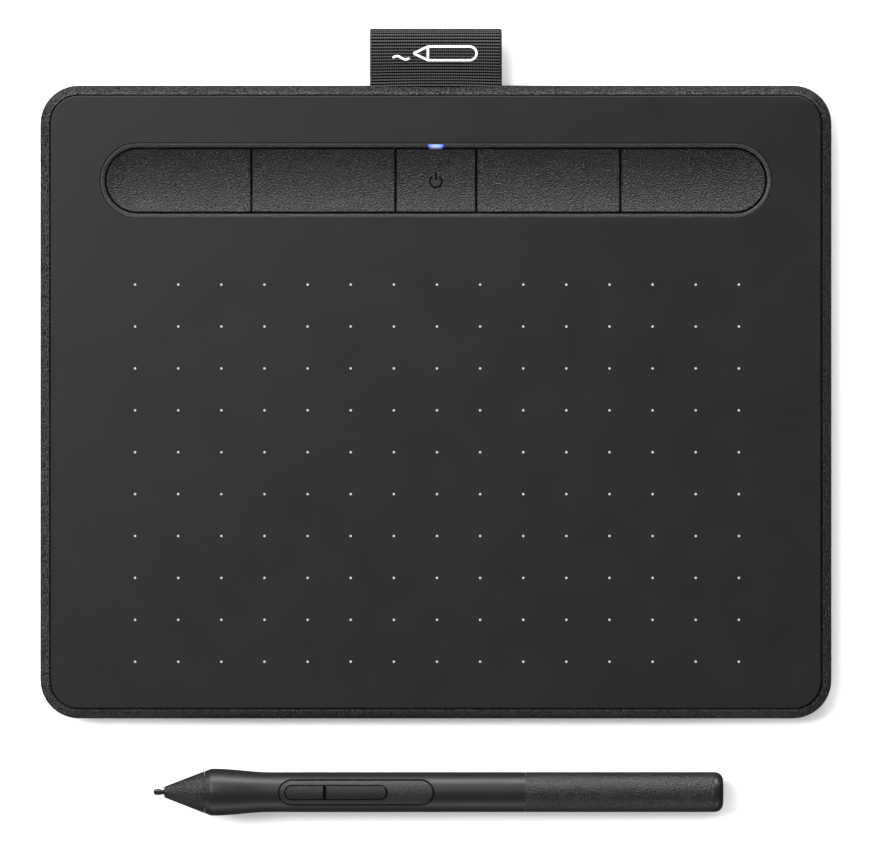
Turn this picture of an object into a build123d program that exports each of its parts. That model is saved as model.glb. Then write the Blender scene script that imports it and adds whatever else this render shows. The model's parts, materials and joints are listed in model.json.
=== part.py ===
"""Pen drawing tablet: a slim wireless tablet with its pen lying in front of it.

Millimetres, +Z up.  The origin is at the bottom centre of the whole object: the tablet's long
side runs along X, its fabric pen loop points to +Y, and the pen lies in front with its nib
towards -X.
"""
from build123d import *
import math
import os

os.makedirs("parts", exist_ok=True)

# ---- driving dimensions -------------------------------------------------------------------
tablet_width = 200.0
tablet_depth = 160.0
tablet_top = 8.8
tablet_corner = 9.7
loop_reach = 14.4
loop_width = 33.4
pen_length = 144.0
pen_radius = 5.05
pen_flare_radius = 5.95
pen_tip_x = -71.4
pen_to_tablet_centre = 98.6

# The whole object, from the pen's near side to the loop's fold, is centred on Y = 0.
tablet_y = (pen_to_tablet_centre + pen_flare_radius - tablet_depth / 2 - loop_reach) / 2
pen_y = tablet_y - pen_to_tablet_centre

# ---- tablet heights -----------------------------------------------------------------------
foot_proud = 0.8
foot_recess = 0.5
case_bottom = foot_proud
floor_thickness = 1.3
floor_top = case_bottom + floor_thickness
cover_thickness = 1.6
cover_bottom = tablet_top - cover_thickness
sensor_bottom = cover_bottom - 0.8
shield_bottom = sensor_bottom - 0.3
board_bottom = 2.9
board_thickness = 1.0
board_top = board_bottom + board_thickness

# ---- tablet outlines ----------------------------------------------------------------------
seam_inset = 2.5
seam_gap = 0.3
rim_apex = 9.1
rim_slope_run = 2.3
rim_slope_drop = 4.2
rim_fillet = 3.0
wall_thickness = 4.0
cavity_width = tablet_width - 2 * wall_thickness
cavity_depth = tablet_depth - 2 * wall_thickness
cavity_corner = 5.6
recess_width = tablet_width - 2 * seam_inset + seam_gap
recess_depth = tablet_depth - 2 * seam_inset + seam_gap
recess_corner = 7.3
cover_width = recess_width - 2 * seam_gap
cover_depth = recess_depth - 2 * seam_gap
cover_corner = 7.0

# ---- the row of keys ----------------------------------------------------------------------
key_row_y = tablet_y + 55.9
key_row_length = 167.0
key_row_depth = 16.4
key_gap = 0.4
key_edge_break = 0.18
key_bottom = 5.9
key_top = 8.2
dish_bottom = 6.95
dish_half_depth = key_row_depth / 2 - 0.45
key_end_x = key_row_length / 2 - key_row_depth / 2
tab_height = 0.6
tab_length = 4.0
tab_reach = 0.8
plunger_radius = 2.0
stem_bottom = 4.4
stem_top = 5.4
stem_radius = 1.2
key_spans = {
    "far_left": (-key_row_length / 2, -46.6),
    "left": (-46.6, -10.2),
    "power": (-10.2, 10.2),
    "right": (10.2, 46.6),
    "far_right": (46.6, key_row_length / 2),
}
outer_key_x = 65.0
key_centres = {
    "far_left": -outer_key_x,
    "left": -28.4,
    "power": 0.0,
    "right": 28.4,
    "far_right": outer_key_x,
}

# ---- bezel round the keys -----------------------------------------------------------------
bezel_length = 169.4
bezel_depth = 18.8
bezel_bottom = 6.6
bezel_flange = 1.5
bezel_slope_drop = 0.12
bezel_slope_width = 0.6
bezel_top = 8.75
light_width = 3.8
light_depth = 0.7
light_y = key_row_y + (key_row_depth + key_gap) / 2 + light_depth / 2 + 0.02
light_pipe_bottom = 4.9

# ---- inside the tablet --------------------------------------------------------------------
screw_places = [(x, tablet_y + y) for x in (-91.5, 91.5) for y in (-71.5, 0.0, 71.5)]
foot_places = [(x, tablet_y + y) for x in (-76.0, 76.0) for y in (-65.0, 65.0)]
foot_length = 20.0
foot_width = 7.0
board_screw_places = [
    (x, tablet_y + y) for x, y in ((-46.6, 50.5), (46.6, 50.5), (-82.0, 66.0), (78.0, 66.0))
]
sensor_y = tablet_y - 18.0
sensor_width = 172.0
sensor_depth = 110.0
battery_x = 38.0
battery_y = tablet_y - 18.0
battery_width = 60.0
battery_depth = 50.0
battery_bottom = 2.4
battery_top = 5.6
snap_places = (
    [(x, tablet_y - cavity_depth / 2, 0) for x in (-60.0, -20.0, 20.0, 60.0)]
    + [(x, tablet_y + cavity_depth / 2, 180) for x in (-60.0, -32.0, 32.0, 60.0)]
    + [(-cavity_width / 2, tablet_y + y, -90) for y in (-36.0, 30.0)]
    + [(cavity_width / 2, tablet_y + y, 90) for y in (-36.0, 30.0)]
)
snap_length = 8.0
snap_bottom = 4.5

# ---- USB port in the left wall ------------------------------------------------------------
port_y = tablet_y + 57.0
port_width = 7.5
port_height = 2.6
port_depth = 5.5
port_front_x = -98.6

# ---- fabric pen loop ----------------------------------------------------------------------
ribbon_thickness = 0.8
loop_z = 4.8
loop_back_y = tablet_y + tablet_depth / 2
loop_end_y = loop_back_y + loop_reach
loop_outer_radius = 3.4
ribbon_slit = 0.04
anchor_front_y = loop_back_y - 10.0
shelf_top = loop_z - ribbon_thickness

# ---- pen stations, measured from the nib's tip along the pen --------------------------------
nib_head_radius = 0.8
nib_radius = 0.65
nose_start = 2.7
nose_end = 12.93
flare_station = 15.4
rear_seam = 94.0
rear_end = pen_length
cap_seam = 141.8
bore_radius = 4.15
plate_centre = 51.25
plate_length = 38.9
plate_width = 6.1
plate_radius = pen_radius + 0.32
plate_bottom = 3.2
button_slot_start = 33.0
button_slot_end = 59.2
button_slot_width = 3.9
button_split = 43.3
button_radius = plate_radius + 0.1
button_clearance = 0.25
plate_clearance = 0.28
pen_edge_break = 0.25
pen_board_top = 1.2
pen_board_thickness = 0.8
pen_stem_top = 2.6
sensor_front = 18.6
frame_front = 22.6
frame_rear = 88.5
holder_rear = 116.0

# The pen rests on its flare and on its rear end, so its axis tips down slightly towards +X.
pen_tilt = math.asin((pen_flare_radius - pen_radius) / (cap_seam - flare_station))
pen_along = Vector(math.cos(pen_tilt), 0, -math.sin(pen_tilt))
pen_up = Vector(math.sin(pen_tilt), 0, math.cos(pen_tilt))
pen_tip = Vector(pen_tip_x, pen_y, pen_flare_radius + flare_station * math.sin(pen_tilt))
pen_side = Plane(origin=pen_tip, x_dir=pen_along, z_dir=(0, -1, 0))
pen_top = Plane(origin=pen_tip, x_dir=pen_along, z_dir=pen_up)
pen_end = Plane(origin=pen_tip, x_dir=(0, 1, 0), z_dir=pen_along)
pen_axis = Axis(pen_tip, pen_along)


def write(piece, name):
    """Label a finished piece and write it as its own STEP file."""
    piece.label = name
    export_step(piece, f"parts/{name}.step")


def rounded_block(width, depth, corner, bottom, top, x=0.0, y=tablet_y):
    """A rounded rectangle standing between two heights."""
    with BuildPart() as block:
        with BuildSketch(Plane.XY.offset(bottom)):
            with Locations((x, y)):
                RectangleRounded(width, depth, corner)
        extrude(amount=top - bottom)
    return block.part


def stadium_block(length, depth, bottom, top, x=0.0, y=key_row_y):
    """A round-ended slot shape standing between two heights."""
    with BuildPart() as block:
        with BuildSketch(Plane.XY.offset(bottom)):
            with Locations((x, y)):
                SlotOverall(length, depth)
        extrude(amount=top - bottom)
    return block.part


def turned(profile):
    """A pen piece turned from (station, radius) points about the pen's axis."""
    with BuildPart() as piece:
        with BuildSketch(pen_side):
            with BuildLine():
                Polyline(*profile, close=True)
            make_face()
        revolve(axis=pen_axis)
    return piece.part


def screws(places, head_z, head_radius, head_height, shank_radius, shank_height, upward):
    """A group of pan-head screws with a cross recess, pointing up or down from head_z."""
    way = 1 if upward else -1
    with BuildPart() as group:
        with BuildSketch(Plane.XY.offset(head_z)):
            with Locations(*places):
                Circle(head_radius)
        extrude(amount=way * head_height)
        with BuildSketch(Plane.XY.offset(head_z + way * head_height)):
            with Locations(*places):
                Circle(shank_radius)
        extrude(amount=way * shank_height)
        with BuildSketch(Plane.XY.offset(head_z)):
            with Locations(*places):
                Rectangle(head_radius * 1.3, head_radius * 0.28)
                Rectangle(head_radius * 0.28, head_radius * 1.3)
        extrude(amount=way * head_height * 0.6, mode=Mode.SUBTRACT)
    return group.part


# ---- bottom case --------------------------------------------------------------------------
# A tray whose rounded rim shows round the top cover; the cover sits on a ledge inside the rim.
case_fillet = 2.6
boss_radius = 2.7
boss_top = 3.4
case_screw_hole_radius = 1.15
case_screw_head_radius = 1.9
case_screw_head_height = 1.1
board_post_radius = 2.0
small_screw_hole_radius = 0.95
rib_width = 1.0
rib_length = 80.0
rib_margin = 4.0
clamp_depth = 6.0
clamp_y = loop_back_y - wall_thickness - clamp_depth / 2

with BuildPart() as bottom_case:
    with BuildSketch(Plane.XY.offset(case_bottom)):
        with Locations((0, tablet_y)):
            RectangleRounded(tablet_width, tablet_depth, tablet_corner)
    extrude(amount=rim_apex - case_bottom)
    fillet(bottom_case.faces().sort_by(Axis.Z)[0].edges(), case_fillet)
    # the rim falls away steeply from the seam, rounded at the top and bottom of its slope
    top_face = bottom_case.faces().sort_by(Axis.Z)[-1]
    chamfer(top_face.edges(), rim_slope_run, rim_slope_drop, reference=top_face)
    for edge_z in (rim_apex, rim_apex - rim_slope_drop):
        fillet(bottom_case.edges().filter_by_position(Axis.Z, edge_z - 0.01, edge_z + 0.01), rim_fillet)
    for hollow in (
        rounded_block(recess_width, recess_depth, recess_corner, cover_bottom, rim_apex),
        rounded_block(cavity_width, cavity_depth, cavity_corner, floor_top, rim_apex),
    ):
        add(hollow, mode=Mode.SUBTRACT)

    # bosses for the case screws, posts for the controller board
    with BuildSketch(Plane.XY.offset(floor_top)):
        with Locations(*screw_places):
            Circle(boss_radius)
    extrude(amount=boss_top - floor_top)
    with BuildSketch(Plane.XY.offset(floor_top)):
        with Locations(*board_screw_places):
            Circle(board_post_radius)
    extrude(amount=board_bottom - floor_top)

    # ribs that carry the shield plate, open where the battery and its leads lie
    with BuildSketch(Plane.XY.offset(floor_top)):
        with Locations((battery_x, battery_y)):
            Rectangle(battery_width + 4, battery_depth + 4)
            Rectangle(battery_width + 2, battery_depth + 2, mode=Mode.SUBTRACT)
        with Locations((battery_x, battery_y + battery_depth / 2 + 1.5)):
            Rectangle(10, 2, mode=Mode.SUBTRACT)
        for rib_x in (-70.0, -45.0, -20.0, 78.0):
            with Locations((rib_x, sensor_y)):
                Rectangle(rib_width, sensor_depth - 2 * rib_margin)
        for rib_x, rib_y in ((-44.0, -40.0), (-44.0, -15.0), (-44.0, 15.0), (-44.0, 40.0), (38.0, -40.0)):
            with Locations((rib_x, sensor_y + rib_y)):
                Rectangle(rib_length, rib_width)
    extrude(amount=shield_bottom - floor_top)

    # shelf where the ends of the pen loop are clamped, and the slot the loop comes out of
    with BuildSketch(Plane.XY.offset(floor_top)):
        with Locations((0, clamp_y)):
            Rectangle(loop_width + 8, clamp_depth)
    extrude(amount=shelf_top - floor_top)
    with Locations((0, loop_back_y - wall_thickness / 2, loop_z)):
        Box(loop_width + 0.8, wall_thickness + 0.2, 2 * ribbon_thickness + 0.4, mode=Mode.SUBTRACT)

    # opening for the USB plug in the left wall
    with BuildSketch(Plane.YZ.offset(-tablet_width / 2 - 1)):
        with Locations((port_y, board_top + port_height / 2)):
            RectangleRounded(port_width + 0.9, port_height + 0.6, 1.0)
    extrude(amount=wall_thickness + 2, mode=Mode.SUBTRACT)

    # pockets that catch the cover's snap hooks
    for snap_x, snap_y, snap_angle in snap_places:
        with Locations(Location((snap_x, snap_y, snap_bottom + 0.5), (0, 0, snap_angle))):
            Box(snap_length + 0.6, 1.6, 1.4, mode=Mode.SUBTRACT)

    # counterbored screw holes, board screw holes and foot recesses
    with Locations(*[Location((x, y, case_bottom), (180, 0, 0)) for x, y in screw_places]):
        CounterBoreHole(
            case_screw_hole_radius,
            case_screw_head_radius + 0.15,
            case_screw_head_height + 0.1,
            depth=boss_top,
        )
    with BuildSketch(Plane.XY.offset(board_bottom)):
        with Locations(*board_screw_places):
            Circle(small_screw_hole_radius)
    extrude(amount=-1.5, mode=Mode.SUBTRACT)
    with BuildSketch(Plane.XY.offset(shelf_top)):
        with GridLocations(loop_width + 4.0, 0, 2, 1):
            with Locations((0, clamp_y)):
                Circle(small_screw_hole_radius)
    extrude(amount=-2.4, mode=Mode.SUBTRACT)
    with BuildSketch(Plane.XY.offset(case_bottom)):
        with Locations(*foot_places):
            SlotOverall(foot_length + 0.3, foot_width + 0.3)
    extrude(amount=foot_recess, mode=Mode.SUBTRACT)
write(bottom_case.part, "bottom_case")

# ---- top cover: the drawing surface ---------------------------------------------------------
cover_boss_bottom = boss_top + 0.05
with BuildPart() as top_cover:
    with BuildSketch(Plane.XY.offset(cover_bottom)):
        with Locations((0, tablet_y)):
            RectangleRounded(cover_width, cover_depth, cover_corner)
        with Locations((0, key_row_y)):
            SlotOverall(bezel_length + 0.2, bezel_depth + 0.2, mode=Mode.SUBTRACT)
    extrude(amount=cover_thickness)
    fillet(top_cover.faces().sort_by(Axis.Z)[-1].outer_wire().edges(), 0.35)
    chamfer(top_cover.faces().sort_by(Axis.Z)[-1].inner_wires()[0].edges(), 0.15)
    # screw bosses reaching down to the case's bosses
    with BuildSketch(Plane.XY.offset(cover_bottom)):
        with Locations(*screw_places):
            Circle(boss_radius - 0.3)
    extrude(amount=cover_boss_bottom - cover_bottom)
    with BuildSketch(Plane.XY.offset(cover_boss_bottom)):
        with Locations(*screw_places):
            Circle(1.0)
    extrude(amount=3.6, mode=Mode.SUBTRACT)
    # snap hooks that hang inside the case wall
    for snap_x, snap_y, snap_angle in snap_places:
        with Locations(Location((snap_x, snap_y, snap_bottom), (0, 0, snap_angle))):
            with Locations((0, 0.65, (cover_bottom - snap_bottom) / 2)):
                Box(snap_length, 1.0, cover_bottom - snap_bottom)
            with Locations((0, 0, 0.4)):
                Box(snap_length, 0.9, 0.8)
write(top_cover.part, "top_cover")

# ---- bezel ring round the keys --------------------------------------------------------------
with BuildPart() as key_bezel:
    with BuildSketch(Plane.XY.offset(bezel_bottom)):
        with Locations((0, key_row_y)):
            SlotOverall(bezel_length + 2 * bezel_flange, bezel_depth + 2 * bezel_flange)
    extrude(amount=cover_bottom - bezel_bottom)
    with BuildSketch(Plane.XY.offset(cover_bottom)):
        with Locations((0, key_row_y)):
            SlotOverall(bezel_length, bezel_depth)
    extrude(amount=bezel_top - cover_bottom)
    add(
        stadium_block(key_row_length + key_gap, key_row_depth + key_gap, bezel_bottom, tablet_top),
        mode=Mode.SUBTRACT,
    )
    # the ring's top face slopes down towards the keys
    for slope_z, slope_widening in ((bezel_top - bezel_slope_drop, 0.0), (bezel_top, 2 * bezel_slope_width)):
        with BuildSketch(Plane.XY.offset(slope_z)):
            with Locations((0, key_row_y)):
                SlotOverall(
                    key_row_length + key_gap + slope_widening,
                    key_row_depth + key_gap + slope_widening,
                )
    loft(mode=Mode.SUBTRACT)
    # notch in the ring's inner edge for the status light
    with Locations((0, light_y - 0.2, tablet_top - 1.5)):
        Box(light_width + 0.06, light_depth + 0.46, 5, mode=Mode.SUBTRACT)
write(key_bezel.part, "key_bezel")

# ---- light pipe over the status LED ----------------------------------------------------------
with BuildPart() as led_light_pipe:
    with Locations((0, light_y, (light_pipe_bottom + bezel_top) / 2)):
        Box(light_width, light_depth, bezel_top - light_pipe_bottom)
    with Locations((0, light_y + 0.6, bezel_bottom - 0.35)):
        Box(light_width + 3, light_depth + 1.2, 0.6)
write(led_light_pipe.part, "led_light_pipe")

# ---- the dish that runs through all five keys, used as a cutting tool -----------------------------
dish_depth = key_top - dish_bottom
dish_radius = (dish_half_depth**2 + dish_depth**2) / (2 * dish_depth)
with BuildPart() as dish:
    with BuildSketch(Plane.YZ.offset(-key_end_x)):
        with BuildLine():
            ThreePointArc(
                (key_row_y - dish_half_depth, key_top),
                (key_row_y, dish_bottom),
                (key_row_y + dish_half_depth, key_top),
            )
            Polyline(
                (key_row_y + dish_half_depth, key_top),
                (key_row_y + dish_half_depth, key_top + 1),
                (key_row_y - dish_half_depth, key_top + 1),
                (key_row_y - dish_half_depth, key_top),
            )
        make_face()
    extrude(amount=2 * key_end_x)
    for end_x in (-key_end_x, key_end_x):
        with BuildSketch(Plane(origin=(end_x, key_row_y, 0), x_dir=(1, 0, 0), z_dir=(0, -1, 0))):
            with BuildLine():
                RadiusArc((0, dish_bottom), (dish_half_depth, key_top), -dish_radius)
                Polyline(
                    (dish_half_depth, key_top),
                    (dish_half_depth, key_top + 1),
                    (0, key_top + 1),
                    (0, dish_bottom),
                )
            make_face()
        revolve(axis=Axis((end_x, key_row_y, 0), (0, 0, 1)))


def on_key_rim(edge, left, right):
    """Whether an edge lies on a key's outline, where its side walls meet its top."""
    point = edge.center()
    half_depth = (key_row_depth - key_gap) / 2
    end_x = max(-key_end_x, min(key_end_x, point.X))
    on_wall = abs(math.hypot(point.X - end_x, point.Y - key_row_y) - half_depth) < 0.02
    on_divide = min(abs(point.X - left - key_gap / 2), abs(point.X - right + key_gap / 2)) < 0.01
    is_upright = abs((edge % 0.5).Z) > 0.9
    return (on_wall or on_divide) and not is_upright and point.Z > dish_bottom - 0.1


def key_cap(left, right, centre):
    """One key: a length of the dished row with four retaining tabs and a plunger below."""
    straight_left = max(left, -key_end_x)
    straight_right = min(right, key_end_x)
    with BuildPart() as cap:
        with BuildSketch(Plane.XY.offset(key_bottom)):
            with Locations((0, key_row_y)):
                SlotOverall(key_row_length - key_gap, key_row_depth - key_gap)
            with Locations(((left + right) / 2, key_row_y)):
                Rectangle(right - left - key_gap, key_row_depth, mode=Mode.INTERSECT)
        extrude(amount=key_top - key_bottom)
        add(dish.part, mode=Mode.SUBTRACT)
        chamfer([edge for edge in cap.edges() if on_key_rim(edge, left, right)], key_edge_break)
        for tab_x in (straight_left + tab_length, straight_right - tab_length):
            with Locations((tab_x, key_row_y, key_bottom + tab_height / 2)):
                Box(tab_length, key_row_depth - key_gap + 2 * tab_reach, tab_height)
        with Locations((centre, key_row_y, (stem_top + key_bottom) / 2)):
            Cylinder(plunger_radius, key_bottom - stem_top)
    return cap.part


symbol_y = key_row_y - 0.2
symbol_radius = 1.75
symbol_stroke = 0.5
symbol_break = 1.5
symbol_bar_y = symbol_y + 1.3
symbol_bar_length = 1.9
symbol_engraving = 0.22


def power_symbol():
    """The common power sign, a broken ring with a bar, as a shallow cutter over the dish."""
    with BuildPart() as symbol:
        with BuildSketch(Plane.XY.offset(dish_bottom - symbol_engraving)):
            with Locations((0, symbol_y)):
                Circle(symbol_radius)
                Circle(symbol_radius - symbol_stroke, mode=Mode.SUBTRACT)
            with Locations((0, symbol_bar_y)):
                Rectangle(symbol_break, symbol_bar_length, mode=Mode.SUBTRACT)
                Rectangle(symbol_stroke, symbol_bar_length)
        extrude(amount=1.0)
    return symbol.part


for key_name, (span_left, span_right) in key_spans.items():
    cap = key_cap(span_left, span_right, key_centres[key_name])
    if key_name == "power":
        with BuildPart() as engraved:
            add(cap)
            add(power_symbol(), mode=Mode.SUBTRACT)
        cap = engraved.part
    write(cap, f"{key_name}_key")
    with BuildPart() as key_stem:
        with Locations((key_centres[key_name], key_row_y, (stem_bottom + stem_top) / 2)):
            Cylinder(stem_radius, stem_top - stem_bottom)
    write(key_stem.part, f"{key_name}_switch_stem")

# ---- controller board and what is soldered to it -----------------------------------------------
controller_left = -95.5
controller_right = 86.0
controller_centre_y = tablet_y + 57.5
controller_depth = 23.0
with BuildPart() as controller_board:
    with BuildSketch(Plane.XY.offset(board_bottom)):
        with Locations(((controller_left + controller_right) / 2, controller_centre_y)):
            RectangleRounded(controller_right - controller_left, controller_depth, 1.5)
        with Locations(*board_screw_places):
            Circle(small_screw_hole_radius + 0.2, mode=Mode.SUBTRACT)
        # cut-outs round the two upper case screws
        with Locations(*[(x, y) for x, y in screw_places if y > tablet_y + 1]):
            Circle(boss_radius + 1.0, mode=Mode.SUBTRACT)
    extrude(amount=board_thickness)
write(controller_board.part, "controller_board")

switch_height = 1.1
with BuildPart() as key_switches:
    for centre in key_centres.values():
        with Locations((centre, key_row_y, board_top + switch_height / 2)):
            Box(6.2, 6.2, switch_height)
        with Locations((centre, key_row_y, board_top + switch_height)):
            Hole(1.5, depth=switch_height - 0.1)
write(key_switches.part, "key_switches")

with BuildPart() as microcontroller:
    with Locations((-46.6, tablet_y + 61.0, board_top + 0.45)):
        Box(7, 7, 0.9)
    chamfer(microcontroller.edges().filter_by(Axis.Z), 0.4)
write(microcontroller.part, "microcontroller")

# The module sits under the far right key, between its switch and the divide beside it.
module_left = 49.4
with BuildPart() as wireless_module:
    with Locations((module_left + 6.0, key_row_y, board_top + 0.4)):
        Box(12, 11, 0.8)
    with Locations((module_left + 4.5, key_row_y, board_top + 1.1)):
        Box(8, 10, 0.6)
write(wireless_module.part, "wireless_module")

with BuildPart() as capacitors:
    with Locations((-46.6, tablet_y + 67.0, board_top + 0.4), (22.0, tablet_y + 66.5, board_top + 0.4)):
        with GridLocations(2.6, 0, 5, 1):
            Box(1.6, 0.8, 0.8)
write(capacitors.part, "capacitors")

with BuildPart() as status_led:
    with Locations((0, light_y, board_top + 0.45)):
        Box(3.2, 1.4, 0.9)
write(status_led.part, "status_led")

with BuildPart() as usb_port:
    with Locations((port_front_x + port_depth / 2, port_y, board_top + port_height / 2)):
        Box(port_depth, port_width, port_height)
    chamfer(usb_port.edges().filter_by(Axis.X).group_by(Axis.Z)[0], 0.7)
    with Locations((port_front_x + 2.2, port_y, board_top + port_height / 2)):
        Box(4.4, port_width - 2.0, port_height - 0.7, mode=Mode.SUBTRACT)
    with Locations((port_front_x + 2.6, port_y, board_top + port_height / 2 + 0.2)):
        Box(4.0, 3.6, 0.6)
write(usb_port.part, "usb_port")

# ---- sensor board under the drawing area, with its steel shield ---------------------------------
tail_x = -12.0
tail_width = 16.0
tail_end_y = sensor_y + sensor_depth / 2 + 6.0
with BuildPart() as sensor_board:
    with BuildSketch(Plane.XY.offset(sensor_bottom)):
        with Locations((0, sensor_y)):
            RectangleRounded(sensor_width, sensor_depth, 3.0)
        with Locations((tail_x, tail_end_y - 4.0)):
            Rectangle(tail_width + 2, 8.0)
    extrude(amount=cover_bottom - sensor_bottom)
write(sensor_board.part, "sensor_board")

with BuildPart() as shield_plate:
    with BuildSketch(Plane.XY.offset(shield_bottom)):
        with Locations((0, sensor_y)):
            RectangleRounded(sensor_width - 2, sensor_depth - 2, 3.0)
        with GridLocations(sensor_width - 12, sensor_depth - 12, 2, 2):
            with Locations((0, sensor_y)):
                Circle(1.5, mode=Mode.SUBTRACT)
    extrude(amount=sensor_bottom - shield_bottom)
write(shield_plate.part, "shield_plate")

connector_height = 1.0
flex_start_y = tail_end_y - 1.8
flex_end_y = tail_end_y + 6.8
with BuildPart() as flex_connectors:
    with Locations((tail_x, flex_start_y - 0.6, sensor_bottom - connector_height / 2)):
        Box(tail_width, 2.4, connector_height)
    with Locations((tail_x, flex_end_y + 1.0, board_top + connector_height / 2)):
        Box(tail_width, 2.4, connector_height)
write(flex_connectors.part, "flex_connectors")

flex_thickness = 0.2
with BuildPart() as sensor_cable:
    with BuildSketch(Plane.YZ.offset(tail_x - tail_width / 2 + 1.0)):
        with BuildLine() as flex_path:
            FilletPolyline(
                (flex_start_y + 0.6, sensor_bottom - connector_height / 2),
                (flex_start_y + 3.4, sensor_bottom - connector_height / 2),
                (flex_end_y - 3.0, board_top + connector_height / 2),
                (flex_end_y - 0.2, board_top + connector_height / 2),
                radius=1.0,
            )
        trace(line_width=flex_thickness)
    extrude(amount=tail_width - 2.0)
write(sensor_cable.part, "sensor_cable")

# ---- battery ----------------------------------------------------------------------------------
with BuildPart() as battery:
    with Locations((battery_x, battery_y, (battery_bottom + battery_top) / 2)):
        Box(battery_width, battery_depth, battery_top - battery_bottom)
    fillet(battery.edges().filter_by(Axis.Z), 2.0)
    fillet(battery.edges().group_by(Axis.Z)[-1], 0.6)
write(battery.part, "battery")
write(
    rounded_block(
        battery_width - 10,
        battery_depth - 10,
        2.0,
        floor_top,
        battery_bottom,
        battery_x,
        battery_y,
    ),
    "battery_tape",
)

lead_radius = 0.5
lead_z = 3.6
lead_start_y = battery_y + battery_depth / 2
lead_end_y = controller_centre_y - controller_depth / 2 - 0.5
plug_height = 1.4
plug_z = board_top + plug_height / 2
with BuildPart() as battery_connector:
    with Locations((battery_x, lead_end_y + 2.0, plug_z)):
        Box(6.0, 4.0, plug_height)
write(battery_connector.part, "battery_connector")

for lead_name, lead_offset in (("red", -1.0), ("black", 1.0)):
    with BuildPart() as lead:
        with BuildLine() as lead_path:
            FilletPolyline(
                (battery_x + lead_offset, lead_start_y, lead_z),
                (battery_x + lead_offset, lead_start_y + 8.0, lead_z),
                (battery_x + lead_offset, lead_end_y - 8.0, plug_z),
                (battery_x + lead_offset, lead_end_y, plug_z),
                radius=12.0,
            )
        with BuildSketch(Plane(origin=lead_path.line @ 0, z_dir=lead_path.line % 0)):
            Circle(lead_radius)
        sweep()
    write(lead.part, f"battery_lead_{lead_name}")

# ---- feet and screws ----------------------------------------------------------------------------
with BuildPart() as rubber_feet:
    with BuildSketch():
        with Locations(*foot_places):
            SlotOverall(foot_length, foot_width)
    extrude(amount=foot_proud + foot_recess)
    fillet(rubber_feet.edges().group_by(Axis.Z)[0], 0.3)
write(rubber_feet.part, "rubber_feet")

write(
    screws(
        screw_places,
        case_bottom + 0.1,
        case_screw_head_radius,
        case_screw_head_height,
        0.95,
        4.6,
        upward=True,
    ),
    "case_screws",
)
write(screws(board_screw_places, board_top + 1.0, 1.8, 1.0, 0.9, 2.2, upward=False), "board_screws")

# ---- pen loop: a flat ribbon folded back on itself, both ends clamped inside the case ----------------
# Its side view is a slim teardrop, flat where it leaves the case and round at the fold.
fold_centre_y = loop_end_y - loop_outer_radius
with BuildPart() as pen_loop:
    with BuildSketch(Plane.YZ.offset(-loop_width / 2)):
        # the outer outline, then the hollow inside it
        for inset, way in ((0.0, Mode.ADD), (ribbon_thickness - ribbon_slit / 2, Mode.SUBTRACT)):
            fold_radius = loop_outer_radius - inset
            neck = ribbon_thickness - inset
            with BuildLine():
                upper = Bezier(
                    (loop_back_y, loop_z + neck),
                    (loop_back_y + 3.2, loop_z + neck),
                    (fold_centre_y - 4.2, loop_z + fold_radius),
                    (fold_centre_y, loop_z + fold_radius),
                )
                fold = ThreePointArc(
                    upper @ 1,
                    (fold_centre_y + fold_radius, loop_z),
                    (fold_centre_y, loop_z - fold_radius),
                )
                lower = Bezier(
                    fold @ 1,
                    (fold_centre_y - 4.2, loop_z - fold_radius),
                    (loop_back_y + 3.2, loop_z - neck),
                    (loop_back_y, loop_z - neck),
                )
                Line(lower @ 1, upper @ 0)
            make_face(mode=way)
    extrude(amount=loop_width)
    # the two ends lie flat on each other back to the clamp
    with Locations((0, (anchor_front_y + loop_back_y) / 2, loop_z)):
        Box(loop_width, loop_back_y - anchor_front_y, 2 * ribbon_thickness)
write(pen_loop.part, "pen_loop")

retainer_thickness = 1.0
retainer_bottom = loop_z + ribbon_thickness
with BuildPart() as loop_retainer:
    with BuildSketch(Plane.XY.offset(retainer_bottom)):
        with Locations((0, clamp_y)):
            RectangleRounded(loop_width + 8, 5.0, 1.0)
    extrude(amount=retainer_thickness)
    # end blocks that stand on the shelf beside the ribbon
    with GridLocations(loop_width + 4.4, 0, 2, 1):
        with Locations((0, clamp_y, (shelf_top + retainer_bottom) / 2)):
            Box(3.6, 5.0, retainer_bottom - shelf_top)
    with BuildSketch(Plane.XY.offset(retainer_bottom + retainer_thickness)):
        with GridLocations(loop_width + 4.0, 0, 2, 1):
            with Locations((0, clamp_y)):
                Circle(1.1)
    extrude(amount=-4.0, mode=Mode.SUBTRACT)
write(loop_retainer.part, "loop_retainer")
write(
    screws(
        [(-loop_width / 2 - 2.0, clamp_y), (loop_width / 2 + 2.0, clamp_y)],
        cover_bottom - 0.05,
        1.5,
        cover_bottom - 0.05 - retainer_bottom - retainer_thickness,
        0.9,
        4.2,
        upward=False,
    ),
    "retainer_screws",
)

# ---- pen: nose cone, nib and the parts that sense the nib ---------------------------------------------
nose_slope = 0.3838
nose_front_radius = 1.45
nose_back_radius = nose_front_radius + nose_slope * (nose_end - nose_start - 0.2)
write(
    turned(
        [
            (nose_start, nib_radius + 0.2),
            (nose_start, nose_front_radius - 0.25),
            (nose_start + 0.2, nose_front_radius),
            (nose_end, nose_back_radius),
            (nose_end, bore_radius - 0.05),
            (16.0, bore_radius - 0.05),
            (16.0, 3.3),
            (12.0, 3.3),
            (4.9, 1.7),
            (4.4, 1.7),
            (4.4, nib_radius + 0.2),
        ]
    ),
    "nose_cone",
)

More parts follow.
